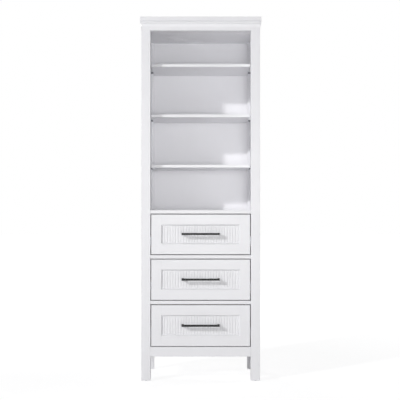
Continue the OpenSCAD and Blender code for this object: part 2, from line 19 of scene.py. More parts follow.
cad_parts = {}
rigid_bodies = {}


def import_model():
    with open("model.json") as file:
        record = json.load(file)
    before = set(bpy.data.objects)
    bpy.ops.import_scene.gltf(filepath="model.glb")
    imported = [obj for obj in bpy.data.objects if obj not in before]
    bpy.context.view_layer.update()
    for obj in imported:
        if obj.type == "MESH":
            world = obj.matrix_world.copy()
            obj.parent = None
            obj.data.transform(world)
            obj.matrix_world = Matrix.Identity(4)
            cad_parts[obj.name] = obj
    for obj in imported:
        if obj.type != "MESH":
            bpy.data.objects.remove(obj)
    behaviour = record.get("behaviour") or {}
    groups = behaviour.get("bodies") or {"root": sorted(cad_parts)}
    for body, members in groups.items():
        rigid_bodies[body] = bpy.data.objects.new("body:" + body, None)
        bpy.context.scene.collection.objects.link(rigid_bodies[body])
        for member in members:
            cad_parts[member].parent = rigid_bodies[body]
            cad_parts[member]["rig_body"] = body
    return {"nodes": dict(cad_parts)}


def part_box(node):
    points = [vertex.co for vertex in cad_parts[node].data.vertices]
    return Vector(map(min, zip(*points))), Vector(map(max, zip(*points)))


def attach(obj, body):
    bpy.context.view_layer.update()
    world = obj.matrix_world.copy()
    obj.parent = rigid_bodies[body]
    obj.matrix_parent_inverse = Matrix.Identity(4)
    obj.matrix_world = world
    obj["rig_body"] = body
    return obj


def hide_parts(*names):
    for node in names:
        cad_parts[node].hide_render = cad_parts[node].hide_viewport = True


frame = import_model()
scene = bpy.context.scene
nodes = frame["nodes"]
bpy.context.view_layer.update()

# %% [markdown]
# ## The cabinet's own measures
# A maker works from the face of the posts and from the drawers' openings. Such places
# could be typed in again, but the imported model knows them, and a piece that is made from
# its boxes stays beside its neighbours. The few measures that no box shows, such as how
# far a panel's tongue goes into its groove, are written in millimetres in the cell that
# first needs them.

# %% Measures
MM = 0.001
DRAWERS = (1, 2, 3)
SHELVES = (1, 2, 3)
LEFT_AND_RIGHT = (-1, 1)
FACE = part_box("post_front_left")[0].y
OPEN_X = -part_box("post_front_left")[1].x


def centre_of(node):
    """The middle of a node's box."""
    low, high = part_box(node)
    return (low + high) / 2


print("face of the posts at y", round(FACE, 5), "openings", round(2 * OPEN_X, 4), "wide")

# %% [markdown]
# ## Camera
# The photograph is level and square to the front, taken from about four and a half
# metres with a long lens. The camera could be tilted to centre the cabinet, but a level
# one keeps the posts upright. A small lens shift does what a studio camera's rising
# front does, and moves the picture without leaning anything.

# %% Camera
EYE = (0, -4.573, 0.844)
LENS, SENSOR = 78.9, 36
SHIFT_ACROSS, SHIFT_UP = -0.0016, 0.0327
camera = bpy.data.objects.new("studio_camera", bpy.data.cameras.new("studio_camera"))
scene.collection.objects.link(camera)
camera.location = EYE
camera.rotation_euler = (math.radians(90), 0, 0)
camera.data.sensor_width = SENSOR
camera.data.lens = LENS
camera.data.shift_x = SHIFT_ACROSS
camera.data.shift_y = SHIFT_UP
scene.camera = camera
print("camera at", EYE, "with a lens of", LENS, "mm")

# %% [markdown]
# ## Building materials from nodes
# Materials could be clicked together in the shader editor. In a script, a few helpers
# keep them as easy to read. The first ones add a node with its inputs filled in or
# linked, and open a node group with named inputs and outputs. The others are the steps
# that nearly every finish here takes: a noise, a sum, a mix of two tones and a bump.

# %% Node helpers
def fill_inputs(tree, node, inputs):
    """Gives each named input of a node its value, or links it where that is a socket."""
    for name, value in inputs.items():
        if isinstance(value, bpy.types.NodeSocket):
            tree.links.new(value, node.inputs[name])
        else:
            node.inputs[name].default_value = value
    return node


def add(tree, kind, inputs=None, **settings):
    """Adds a node: settings are its own properties, and inputs are values or sockets by name."""
    made = tree.nodes.new("ShaderNode" + kind)
    for name, value in settings.items():
        setattr(made, name, value)
    return fill_inputs(tree, made, inputs or {})


def open_group(name, takes, gives):
    """Makes a node group and returns it, the sockets that come in and the node that gives out."""
    group = bpy.data.node_groups.new(name, "ShaderNodeTree")
    for title, kind, start in takes:
        socket = group.interface.new_socket(title, in_out="INPUT", socket_type="NodeSocket" + kind)
        socket.default_value = start
    for title in gives:
        group.interface.new_socket(title, in_out="OUTPUT", socket_type="NodeSocketFloat")
    incoming = group.nodes.new("NodeGroupInput").outputs
    return group, incoming, group.nodes.new("NodeGroupOutput")


def place_group(tree, group, inputs):
    """Places a node group in a material's tree and returns what it puts out."""
    made = tree.nodes.new("ShaderNodeGroup")
    made.node_tree = group
    return fill_inputs(tree, made, inputs).outputs


def open_material(name):
    """A material with a bare surface shader and the object's own coordinates."""
    material = bpy.data.materials.new(name)
    material.use_nodes = True
    tree = material.node_tree
    shader = tree.nodes["Principled BSDF"]
    return material, tree, shader, add(tree, "TexCoord").outputs


print("helpers for nodes, groups and materials are ready")

# %% Steps of a finish
MASK, FIRST_TONE, SECOND_TONE, MIXED = 0, 6, 7, 2


def noise(tree, place, scale, detail, distortion=0.0):
    """The value of a noise whose scale counts its waves in a metre."""
    return add(tree, "TexNoise", {
        "Vector": place, "Scale": scale, "Detail": detail, "Distortion": distortion,
    }).outputs[0]


def stretched(tree, place, by):
    """Coordinates multiplied along each axis: the smallest factor draws a noise out there."""
    return add(tree, "VectorMath", {0: place, 1: by}, operation="MULTIPLY").outputs[0]


def along(tree, vector, axis):
    """How far a vector reaches along an axis, as their dot product."""
    return add(tree, "VectorMath", {0: vector, 1: axis}, operation="DOT_PRODUCT").outputs["Value"]


def combine(tree, one, two, operation="ADD"):
    """One value worked out from two."""
    return add(tree, "Math", {0: one, 1: two}, operation=operation).outputs[0]


def spread(tree, value, low, high, start=0.3, end=0.7):
    """Stretches values between start and end, a noise's middle ones, to the span low to high."""
    inputs = {"Value": value, "From Min": start, "From Max": end, "To Min": low, "To Max": high}
    return add(tree, "MapRange", inputs).outputs[0]


def mix_tones(tree, mask, first, second):
    """The colour that a mask picks between two, each a socket or red, green and blue. A Mix
    node has several inputs of one name, so its colour sockets are called by number."""
    tones = [t if isinstance(t, bpy.types.NodeSocket) else (*t, 1) for t in (first, second)]
    inputs = {MASK: mask, FIRST_TONE: tones[0], SECOND_TONE: tones[1]}
    return add(tree, "Mix", inputs, data_type="RGBA").outputs[MIXED]


def finish_surface(tree, shader, tone, roughness, height, strength, depth):
    """Feeds the shader its tone and roughness, and its normal from a height of some depth."""
    bump = add(tree, "Bump", {"Height": height, "Strength": strength, "Distance": depth})
    fill_inputs(tree, shader, {
        "Base Color": tone, "Roughness": roughness, "Normal": bump.outputs[0],
    })


print("steps of a finish are ready")

# %% [markdown]
# ## Sprayed paint
# The cabinet is sprayed with a satin white that leans a little towards blue. Close up,
# such a film has orange peel a couple of millimetres across, the wood's grain still
# shows through it as a very faint streak, and its sheen drifts slightly where the coats
# overlap. One flat white would look like plastic, and a picture of paint would need
# unwrapping, so three noises on the object's own coordinates make it. As posts, rails
# and boards have grain in different directions, the effect is one group, and each
# material hands it the stretch that suits its own wood. Shelves and fixed boards are
# sprayed lying flat, so their film levels out and shines a little more.

# %% Sprayed film group
MATT, LEVELLED, GLOSSIEST = 0.39, 0.33, 0.25
ACROSS_GRAIN, ALONG_GRAIN = 170, 6
PEEL_WAVES, CLOUD_WAVES = 420.0, 3.2
PEEL_DRIFT, CLOUD_DRIFT = 0.02, 0.035
STREAK_TONE, STREAK_HEIGHT = 0.45, 0.35
film, film_in, film_out = open_group(
    "sprayed_film",
    [("Place", "Vector", (0, 0, 0)), ("Matt", "Float", MATT),
     ("Grain", "Vector", (ACROSS_GRAIN, ACROSS_GRAIN, ALONG_GRAIN))],
    ["Tone", "Roughness", "Height"],
)
streaks = noise(film, stretched(film, film_in["Place"], film_in["Grain"]), 1.0, detail=3.0)
peel = noise(film, film_in["Place"], PEEL_WAVES, detail=1.5)
cloud = noise(film, film_in["Place"], CLOUD_WAVES, detail=2.0)
drift = combine(film, spread(film, cloud, -CLOUD_DRIFT, CLOUD_DRIFT),
                spread(film, peel, -PEEL_DRIFT, PEEL_DRIFT))
fill_inputs(film, film_out, {
    "Tone": combine(film, spread(film, streaks, 0.0, STREAK_TONE),
                    spread(film, cloud, 0.0, 1 - STREAK_TONE)),
    "Roughness": combine(film, drift, film_in["Matt"]),
    "Height": combine(film, spread(film, streaks, 0.0, STREAK_HEIGHT),
                      spread(film, peel, 0.0, 1 - STREAK_HEIGHT)),
})
print("group", film.name, "with", len(film.nodes), "nodes")

# %% Paint materials
PAINT_LIGHT, PAINT_DARK = (0.931, 0.928, 0.953), (0.913, 0.910, 0.938)


def sprayed_paint(name, grain_axis, matt=MATT):
    """White paint over wood whose grain runs along one axis: the noise is drawn out there."""
    material, tree, shader, place = open_material(name)
    grain = [ALONG_GRAIN if axis == grain_axis else ACROSS_GRAIN for axis in "xyz"]
    look = place_group(tree, film, {"Place": place["Object"], "Grain": grain, "Matt": matt})
    tone = mix_tones(tree, look["Tone"], PAINT_DARK, PAINT_LIGHT)
    finish_surface(tree, shader, tone, look["Roughness"], look["Height"],
                   strength=0.35, depth=0.12 * MM)
    return material


paint_across = sprayed_paint("paint_across", "x")
paint_deep = sprayed_paint("paint_deep", "y")
paint_upright = sprayed_paint("paint_upright", "z")
paint_level = sprayed_paint("paint_level", "x", LEVELLED)
paint_ceiling = sprayed_paint("paint_ceiling", "x", GLOSSIEST)
print("paints:", ", ".join(m.name for m in bpy.data.materials if m.name.startswith("paint")))

# %% [markdown]
# ## Metal and plastic
# The pulls are powder coated: a matt black with a fine, even grit. The slides and
# screws are zinc plated, bright but soft, with a drawn streak along their length. The
# shelf pins have a duller plating, and the glides are moulded in black nylon with a fine
# skin. Plain shader values would make toys of them, so each finish has a noise at the
# scale of its own grain in its tone, its gloss and its bump.

# %% Metal and plastic
COAT_DARK, COAT_LIGHT = (0.013, 0.013, 0.014), (0.021, 0.021, 0.022)
ZINC_DARK, ZINC_LIGHT = (0.52, 0.54, 0.58), (0.66, 0.68, 0.71)
DULL_DARK, DULL_LIGHT = (0.22, 0.23, 0.25), (0.31, 0.32, 0.34)
NYLON_DARK, NYLON_LIGHT = (0.018, 0.018, 0.018), (0.03, 0.03, 0.03)
ACROSS_DRAW, ALONG_DRAW, EVEN = 900, 8, 500


def powder_coat(name):
    """Black coat with a grit of about a millimetre, and a slower drift in its tone."""
    material, tree, shader, place = open_material(name)
    grit = noise(tree, place["Object"], 900.0, detail=2.0)
    cast = noise(tree, place["Object"], 30.0, detail=1.0)
    tone = mix_tones(tree, cast, COAT_DARK, COAT_LIGHT)
    finish_surface(tree, shader, tone, spread(tree, grit, 0.45, 0.58), grit,
                   strength=0.5, depth=0.06 * MM)
    shader.inputs["Specular IOR Level"].default_value = 0.3
    return material


def zinc_plate(name, stretch, dark=ZINC_DARK, light=ZINC_LIGHT):
    """Plating: a metal whose roughness follows streaks, with soft crystal patches in its tone."""
    material, tree, shader, place = open_material(name)
    streak = noise(tree, stretched(tree, place["Object"], stretch), 1.0, detail=2.0)
    patch = add(tree, "TexVoronoi", {"Vector": place["Object"], "Scale": 160.0})
    tone = mix_tones(tree, patch.outputs["Distance"], dark, light)
    finish_surface(tree, shader, tone, spread(tree, streak, 0.26, 0.40), streak,
                   strength=0.3, depth=0.05 * MM)
    shader.inputs["Metallic"].default_value = 1.0
    return material


def moulded_plastic(name):
    """Nylon with a fine moulded skin in its tone, gloss and height."""
    material, tree, shader, place = open_material(name)
    skin = noise(tree, place["Object"], 700.0, detail=2.0)
    tone = mix_tones(tree, skin, NYLON_DARK, NYLON_LIGHT)
    finish_surface(tree, shader, tone, spread(tree, skin, 0.38, 0.5), skin,
                   strength=0.3, depth=0.05 * MM)
    return material


black_coat = powder_coat("black_powder_coat")
zinc_drawn = zinc_plate("zinc_drawn", (ACROSS_DRAW, ALONG_DRAW, ACROSS_DRAW))
zinc_headed = zinc_plate("zinc_headed", (EVEN, EVEN, EVEN))
zinc_dulled = zinc_plate("zinc_dulled", (EVEN, EVEN, EVEN), DULL_DARK, DULL_LIGHT)
black_nylon = moulded_plastic("black_nylon")
print("metals and plastic:", black_coat.name, zinc_drawn.name, zinc_headed.name, zinc_dulled.name,
      black_nylon.name)

# %% [markdown]
# ## Birch plywood
# The drawer boxes are birch plywood, clear lacquered: pale faces with brown flecks and
# grain, and thin dark glue lines between the layers on every cut edge. Faces and edges
# could be two materials, but then each edge would have to be picked out. Here the
# plywood is a solid texture, so a face and an edge of one board agree: layers are
# counted through the thickness, and the surface normal tells an edge from a face.

# %% Plywood group
LAYER_T = 1.4 * MM
ACROSS_FIGURE, ALONG_FIGURE = 95, 7
ply, ply_in, ply_out = open_group(
    "birch_layers",
    [("Place", "Vector", (0, 0, 0)), ("Through", "Vector", (1, 0, 0)),
     ("Grain", "Vector", (ACROSS_FIGURE, ACROSS_FIGURE, ALONG_FIGURE)),
     ("Facing", "Vector", (0, 0, 1))],
    ["Figure", "Layers", "Roughness"],
)
in_grain = stretched(ply, ply_in["Place"], ply_in["Grain"])
figure = noise(ply, in_grain, 1.0, detail=5.0, distortion=0.4)
depth_in = along(ply, ply_in["Place"], ply_in["Through"])
layer = combine(ply, depth_in, 2 * LAYER_T, "PINGPONG")
glue = spread(ply, layer, 0.0, 1.0, start=0.35 * LAYER_T, end=0.9 * LAYER_T)
facing = along(ply, ply_in["Facing"], ply_in["Through"])
on_face = add(ply, "Math", {0: facing}, operation="ABSOLUTE").outputs[0]
on_edge = spread(ply, on_face, 1.0, 0.0, start=0.5, end=0.8)
fill_inputs(ply, ply_out, {
    "Figure": spread(ply, figure, 0.0, 1.0, start=0.25, end=0.75),
    "Layers": combine(ply, glue, on_edge, "MULTIPLY"),
    "Roughness": spread(ply, figure, 0.5, 0.38),
})
print("group", ply.name, "with", len(ply.nodes), "nodes")

# %% Plywood materials
BIRCH_DARK, BIRCH_LIGHT = (0.47, 0.32, 0.185), (0.69, 0.53, 0.35)
GLUE_LINE = (0.30, 0.17, 0.085)


def birch_plywood(name, through, grain_axis):
    """Lacquered birch: through is the axis across the layers, and the face grain has its own."""
    material, tree, shader, place = open_material(name)
    look = place_group(tree, ply, {
        "Place": place["Object"],
        "Grain": [ALONG_FIGURE if axis == grain_axis else ACROSS_FIGURE for axis in "xyz"],
        "Through": [float(axis == through) for axis in "xyz"],
        "Facing": place["Normal"],
    })
    face = mix_tones(tree, look["Figure"], BIRCH_DARK, BIRCH_LIGHT)
    tone = mix_tones(tree, look["Layers"], face, GLUE_LINE)
    finish_surface(tree, shader, tone, look["Roughness"], look["Figure"],
                   strength=0.25, depth=0.1 * MM)
    return material


birch_sides = birch_plywood("birch_sides", "x", "y")
birch_ends = birch_plywood("birch_ends", "y", "x")
birch_flat = birch_plywood("birch_flat", "z", "x")
print("plywood:", birch_sides.name, birch_ends.name, birch_flat.name)

# %% [markdown]
# ## Shapes as arrays
# Nearly every part of a cabinet is a section carried along a path: a rounded rectangle
# along a shelf, a hollow moulding round the cap, a ring along a screw. Each could be
# extruded by hand from a drawn outline. Worked out as one array of stations by section
# points it keeps exact measures, and the same index arithmetic turns any such array
# into quads with a face at each end.

# %% Sections carried along a path
def carried(stations):
    """A closed section carried through stations, an array (s, p, 3): its points, its quads,
    where quad (i, j) joins points j and j + 1 of stations i and i + 1, and its two ends."""
    count, points = stations.shape[:2]
    index = np.arange(count * points).reshape(count, points)
    near, far = index[:-1], index[1:]
    quads = np.stack([near, np.roll(near, -1, 1), np.roll(far, -1, 1), far], -1).reshape(-1, 4)
    return stations.reshape(-1, 3), quads, (index[0, ::-1], index[-1])


def places(x, y, z):
    """Points from coordinates that are each one value, a row round the section, or a column
    along the path."""
    return np.stack(np.broadcast_arrays(x, y, z), -1)


def in_axes(path, across, up, axis):
    """Points whose path runs along one axis, the section in the two that follow it in turn."""
    order = {"x": (0, 1, 2), "y": (2, 0, 1), "z": (1, 2, 0)}[axis]
    return places(path, across, up)[..., order]


def corner_turns(steps):
    """Angles round a rounded rectangle, and the corner that each angle's quarter belongs to."""
    quarter = np.linspace(0, math.pi / 2, steps + 1)
    turn = (np.arange(4)[:, None] * math.pi / 2 + quarter).ravel()
    return turn, np.repeat(np.array([[1, 1], [-1, 1], [-1, -1], [1, -1]]), steps + 1, axis=0)


def eased_box(low, high, radius, steps=4):
    """A box with quarter-round edges: at angle a the section's four corner rounds keep their
    centres, have radius r cos(a) and stand r sin(a) past the inset end, a from -90 to 90."""
    low, high = np.array(low, float), np.array(high, float)
    path = int(np.argmax(high - low))
    one, two = (path + 1) % 3, (path + 2) % 3
    mid, half = (low + high) / 2, (high - low) / 2 - radius
    turn, corner = corner_turns(steps)
    quarter = np.linspace(0, math.pi / 2, steps + 1)
    angle = np.concatenate([-quarter[::-1], quarter])[:, None]
    end = np.repeat([-1, 1], steps + 1)[:, None]
    made = np.empty((angle.size, turn.size, 3))
    made[..., path] = mid[path] + end * half[path] + radius * np.sin(angle)
    made[..., one] = mid[one] + corner[:, 0] * half[one] + radius * np.cos(angle) * np.cos(turn)
    made[..., two] = mid[two] + corner[:, 1] * half[two] + radius * np.cos(angle) * np.sin(turn)
    return carried(made)


def turned(profile, centre, axis, way=1, sides=32):
    """A lathe form: ring k has radius profile[k, 0] and lies profile[k, 1] along the axis."""
    profile = np.array(profile, float)
    turn = np.arange(sides) * 2 * math.pi / sides
    ring = profile[:, :1]
    made = in_axes(way * profile[:, 1:], ring * np.cos(turn), ring * np.sin(turn), axis)
    return carried(made + np.array(centre))


print("helpers for carried sections are ready")

# %% Pieces from sections
FLAT_WEIGHT = 100


def make_piece(name, shells, smooth_to=35):
    """One mesh object from several closed shells: doubles merged, faces turned outwards."""
    points, faces, first = [], [], 0
    for corners, quads, ends in shells:
        points.append(corners)
        faces += (quads + first).tolist() + [(end + first).tolist() for end in ends]
        first += len(corners)
    mesh = bpy.data.meshes.new(name)
    mesh.from_pydata(np.concatenate(points).tolist(), [], faces)
    work = bmesh.new()
    work.from_mesh(mesh)
    bmesh.ops.remove_doubles(work, verts=work.verts, dist=1e-6)
    bmesh.ops.recalc_face_normals(work, faces=work.faces)
    work.to_mesh(mesh)
    work.free()
    mesh.shade_smooth()
    mesh.set_sharp_from_angle(angle=math.radians(smooth_to))
    piece = bpy.data.objects.new(name, mesh)
    scene.collection.objects.link(piece)
    return piece


def weigh_normals(piece):
    """Lets the large flat faces set the normals, so that flats stay flat beside small rounds."""
    weighted = piece.modifiers.new("flat_faces", "WEIGHTED_NORMAL")
    weighted.keep_sharp = True
    weighted.weight = FLAT_WEIGHT


def coat(thing, material):
    """Gives an object one finish in place of what it had."""
    thing.data.materials.clear()
    thing.data.materials.append(material)


def dress(piece, node, material):
    """The piece stands for the node, rides on the node's body and takes the given finish."""
    coat(piece, material)
    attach(piece, nodes[node]["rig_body"])
    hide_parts(node)
    return piece


print("helpers for pieces are ready")

# %% [markdown]
# ## Eased edges on the joinery
# No edge of real joinery is sharp: it is sanded to about a millimetre before the paint,
# and the paint rounds it further. Posts and rails have mortises and tenons that the
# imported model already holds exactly, so a copy of the solid is taken, its triangles are
# merged back into flat faces, and a Bevel modifier rounds only the edges that have
# a weight. A bevel on every edge would open the joints, so short rays tell which to
# ease: an edge free on both faces gets all of it, an edge where one face meets
# a neighbour gets a fine joint line, and a hidden edge none.

# %% Which edges are free
NEAR_EDGE, LOOK, LIFT = 0.9 * MM, 0.6 * MM, 0.02 * MM
RAYS_ALONG_EDGE, MOST_RAYS = (0.14, 0.32, 0.5, 0.68, 0.86), 3


def all_triangles():
    """The corners and triangles of all solids, read as arrays and joined in order of name."""
    points, triangles, first = [], [], 0
    for name in sorted(nodes):
        mesh = nodes[name].data
        corners = np.empty(3 * len(mesh.vertices), np.float32)
        mesh.vertices.foreach_get("co", corners)
        index = np.empty(len(mesh.loops), np.int32)
        mesh.loops.foreach_get("vertex_index", index)
        points.append(corners.reshape(-1, 3))
        triangles.append(index.reshape(-1, 3) + first)
        first += len(mesh.vertices)
    return np.concatenate(points).tolist(), np.concatenate(triangles).tolist()


solid_points, solid_triangles = all_triangles()
whole_cabinet = BVHTree.FromPolygons(solid_points, solid_triangles)


def is_covered(loop):
    """Whether something lies against the loop's face along most of the loop's edge."""
    start, end = loop.vert.co, loop.link_loop_next.vert.co
    normal = loop.face.normal
    inward = normal.cross((end - start).normalized())
    hits = 0
    for share in RAYS_ALONG_EDGE:
        spot = start.lerp(end, share) + inward * NEAR_EDGE + normal * LIFT
        hits += whole_cabinet.ray_cast(spot, normal, LOOK)[0] is not None
    return hits >= MOST_RAYS


print("rays see", len(solid_triangles), "triangles of the whole cabinet")

# %% Easing
EASE_OF_FREE, EASE_OF_JOINT, EASE_OF_HIDDEN = 1.0, 0.3, 0.0
FLAT_ANGLE, EDGE_ANGLE = math.radians(1), math.radians(25)
SHORTEST_EASED = 6 * MM


def cut_at(work, height):
    """Cuts a mesh through at one height, so that an edge can change its easing there."""
    everything = work.verts[:] + work.edges[:] + work.faces[:]
    bmesh.ops.bisect_plane(
        work, geom=everything, plane_co=(0, 0, height), plane_no=(0, 0, 1), dist=1e-6)


def eased(node, width, material, cuts=(), segments=2):
    """A copy of the node whose bevel is weighted by how free each edge is. It is cut first at
    the heights where rails meet it, as the easing changes there."""
    work = bmesh.new()
    work.from_mesh(nodes[node].data)
    bmesh.ops.remove_doubles(work, verts=work.verts, dist=1e-5)
    bmesh.ops.dissolve_limit(work, angle_limit=FLAT_ANGLE, verts=work.verts, edges=work.edges)
    for height in cuts:
        cut_at(work, height)
    weights = work.edges.layers.float.new("bevel_weight_edge")
    for edge in work.edges:
        if len(edge.link_loops) != 2 or edge.calc_face_angle(0) < EDGE_ANGLE:
            continue
        edge.smooth = False
        if edge.is_convex and edge.calc_length() > SHORTEST_EASED:
            covered = sum(is_covered(loop) for loop in edge.link_loops)
            edge[weights] = (EASE_OF_FREE, EASE_OF_JOINT, EASE_OF_HIDDEN)[covered]
            edge.smooth = covered < 2
    mesh = bpy.data.meshes.new(node + "_eased")
    work.to_mesh(mesh)
    work.free()
    mesh.polygons.foreach_set("use_smooth", np.ones(len(mesh.polygons), bool))
    piece = bpy.data.objects.new(node + "_eased", mesh)
    scene.collection.objects.link(piece)
    bevel = piece.modifiers.new("eased_edges", "BEVEL")
    bevel.limit_method = "WEIGHT"
    bevel.width = width
    bevel.segments = segments
    bevel.use_clamp_overlap = False
    weigh_normals(piece)
    return dress(piece, node, material)


print("joints are eased to", EASE_OF_JOINT, "of a free edge")

# %% [markdown]
# ## Posts, rails and back
# The posts are the legs as well, 46 mm square, and the rails are set flush between
# them. Their grain runs along their length, so posts take the upright paint and rails
# the one that runs across. The flat boards that show no edge could be made again as
# boxes, but their solids are already right, so they stay and only need the paint.

# %% Posts and rails
POST_EASE, RAIL_EASE = 1.6 * MM, 1.2 * MM
FRONT_RAILS = ["deck_rail", "drawer_rail_upper", "drawer_rail_lower", "bottom_rail"]
front_cuts = sorted(corner.z for rail in FRONT_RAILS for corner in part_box(rail))
for side in ("left", "right"):
    eased(f"post_front_{side}", POST_EASE, paint_upright, front_cuts)
    eased(f"post_rear_{side}", POST_EASE, paint_upright)
    eased(f"side_rails_{side}", RAIL_EASE, paint_deep)
for rail in FRONT_RAILS + ["top_rail", "back_rails"]:
    eased(rail, RAIL_EASE, paint_across)

# %% Boards that keep their solids
KEPT_BOARDS = {
    "side_panels_left": paint_upright, "side_panels_right": paint_upright,
    "liner_left": paint_upright, "liner_right": paint_upright, "back_panel": paint_upright,
    "top_panel": paint_ceiling, "deck_panel": paint_level, "bottom_panel": paint_level,
    "cap_battens": paint_across,
}
for board, paint in KEPT_BOARDS.items():
    coat(nodes[board], paint)
print("painted", len(KEPT_BOARDS), "boards")

# %% [markdown]
# ## Cap and moulding
# The cap is a plain slab, so it is a rounded rectangle carried along its length. The
# moulding under it is run as one section: a shadow groove, an upright band and a hollow
# that falls to a thin edge. It goes along the front and back along both sides, mitred
# at the corners. Cutting a long bar at an angle would need a boolean, so each length is
# that section carried between two stations, whose points lean out with the mitre.

# %% Cap
CAP_EASE = 1.8 * MM
cap = make_piece("cap_slab", [eased_box(*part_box("top_cap"), CAP_EASE)])
weigh_normals(cap)
dress(cap, "top_cap", paint_across)

# %% Moulding
QUIRK_H, QUIRK_D = 4 * MM, 5.5 * MM
BAND_H = 8.5 * MM
MOULD_H, MOULD_OUT, MOULD_EDGE = 33 * MM, 6.5 * MM, 0.8 * MM
BAND_EASE_TOP, BAND_EASE_FOOT = 0.6 * MM, 0.4 * MM
JOINT = 0.05 * MM
HALF_W, CAP_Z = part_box("post_front_right")[1].x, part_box("top_cap")[0].z


def rounded_corner(before, corner, after, radius, steps=4):
    """Points of a small round at a corner: a curve from one tangent point to the other."""
    before, corner, after = (np.array(p, float) for p in (before, corner, after))
    start = corner + radius * (before - corner) / np.linalg.norm(before - corner)
    end = corner + radius * (after - corner) / np.linalg.norm(after - corner)
    t = np.linspace(0, 1, steps + 1)[:, None]
    return (1 - t) ** 2 * start + 2 * t * (1 - t) * corner + t**2 * end


def moulding_section(steps=14):
    """How far out and how far down: groove, band, and a hollow that is a quarter wave. The
    round at the band's foot takes the place of the hollow's first two points."""
    band_foot = QUIRK_H + BAND_H
    a = np.linspace(0, math.pi / 2, steps)
    hollow = np.stack([MOULD_EDGE + (MOULD_OUT - MOULD_EDGE) * (1 - np.sin(a)),
                       band_foot + (MOULD_H - band_foot) * (1 - np.cos(a))], -1)
    in_groove = MOULD_OUT - QUIRK_D
    top, foot = [MOULD_OUT, QUIRK_H], [MOULD_OUT, band_foot]
    return np.concatenate([
        [[0, 0], [in_groove, 0], [in_groove, QUIRK_H]],
        rounded_corner([in_groove, QUIRK_H], top, foot, BAND_EASE_TOP),
        rounded_corner(top, foot, hollow[2], BAND_EASE_FOOT),
        hollow[2:], [[0, MOULD_H]],
    ])


out, down = moulding_section().T
both_ends = np.array([[-1.0], [1.0]])
back_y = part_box("cap_moulding")[1].y
front_length = places(both_ends * (HALF_W + out - JOINT), FACE - out, CAP_Z - down)
from_mitre_back = np.stack([FACE - out + JOINT, np.full(out.size, back_y)])
side_lengths = [places(side * (HALF_W + out), from_mitre_back, CAP_Z - down)
                for side in LEFT_AND_RIGHT]
lengths = [front_length] + side_lengths
moulding = make_piece("bed_moulding", [carried(length) for length in lengths], smooth_to=25)
dress(moulding, "cap_moulding", paint_across)
print("moulding section of", out.size, "points,", len(lengths), "lengths")

# %% [markdown]
# ## Shelves and their pins
# The shelves are loose. Slots in their ends drop over the tongues of steel pins that
# stand out from the liners. A shelf could be a new board with its slots cut by
# a boolean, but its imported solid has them, so it gets eased edges as the joinery does.
# A pin is a small casting: a square heel against the liner, a flat tongue and a round
# shank, so two eased blocks and a lathe form make one.

# %% Shelves and pins
SHELF_EASE, PIN_EASE = 1.4 * MM, 0.6 * MM
PIN_W, HEEL_H, HEEL_GAP = 8 * MM, 9 * MM, 3 * MM
TONGUE_T, TONGUE_L = 3 * MM, 8 * MM
PIN_R, PIN_L = 2.5 * MM, 9 * MM
for n in SHELVES:
    eased(f"shelf_{n}", SHELF_EASE, paint_level)

LINER_X, SHELF_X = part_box("liner_right")[0].x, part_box("shelf_1")[1].x
HEEL_X = SHELF_X + HEEL_GAP
pin_low, pin_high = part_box("shelf_pins")
pin_ys = (pin_low.y + PIN_W / 2, pin_high.y - PIN_W / 2)


def pin_block(side, near, far, y, z, height):
    """A block of the pin between two distances from the cabinet's middle."""
    x0, x1 = sorted((side * near, side * far))
    low = (x0, y - PIN_W / 2, z - height / 2)
    high = (x1, y + PIN_W / 2, z + height / 2)
    return eased_box(low, high, PIN_EASE, steps=3)


def shelf_pin(side, y, z):
    """Heel from the liner to near the shelf, tongue from the heel into the slot, and shank."""
    shank = [(0, 0), (PIN_R, 0), (PIN_R, 0.9 * PIN_L), (0.7 * PIN_R, PIN_L), (0, PIN_L)]
    return [
        pin_block(side, HEEL_X, LINER_X, y, z, HEEL_H),
        pin_block(side, SHELF_X - TONGUE_L, HEEL_X + HEEL_GAP, y, z, TONGUE_T),
        turned(shank, (side * LINER_X, y, z), "x", side, sides=20),
    ]


pin_shells = []
for n in SHELVES:
    for y in pin_ys:
        for side in LEFT_AND_RIGHT:
            pin_shells += shelf_pin(side, y, centre_of(f"shelf_{n}").z)
dress(make_piece("shelf_supports", pin_shells), "shelf_pins", zinc_dulled)
print("three shelves on", len(pin_shells) // 3, "pins")

# %% [markdown]
# ## Drawer fronts
# Each front is a frame of two stiles and two rails, coped together, whose inner edges
# slope down to a panel of round reeds. The frame keeps its exact joints from the packed
# solid and gets eased edges. The reeds could be a row of cylinders sunk in a board, but
# those would leave knife-sharp valleys. So the panel's face is one height over the
# width: circles side by side, with the valleys filled a little, as primer and paint
# fill them.

# %% Reeded panels
REEDS, POINTS_PER_REED = 28, 18
REED_H, REED_LAND, VALLEY_FILL = 2 * MM, 0.5 * MM, 0.16 * MM
PANEL_T, PANEL_TONGUE, TONGUE_EASE = 6 * MM, 7.5 * MM, 0.2 * MM


def reed_depth(x, half_field):
    """Depth behind the crests: a circle over each reed, blended softly into the ground."""
    step = 2 * half_field / REEDS
    half = (step - REED_LAND) / 2
    radius = (half**2 + REED_H**2) / (2 * REED_H)
    from_crest = np.abs((x + half_field) % step - step / 2)
    arc = radius - np.sqrt(radius**2 - np.minimum(from_crest, half) ** 2)
    return -VALLEY_FILL * np.log(np.exp(-arc / VALLEY_FILL) + np.exp(-REED_H / VALLEY_FILL))


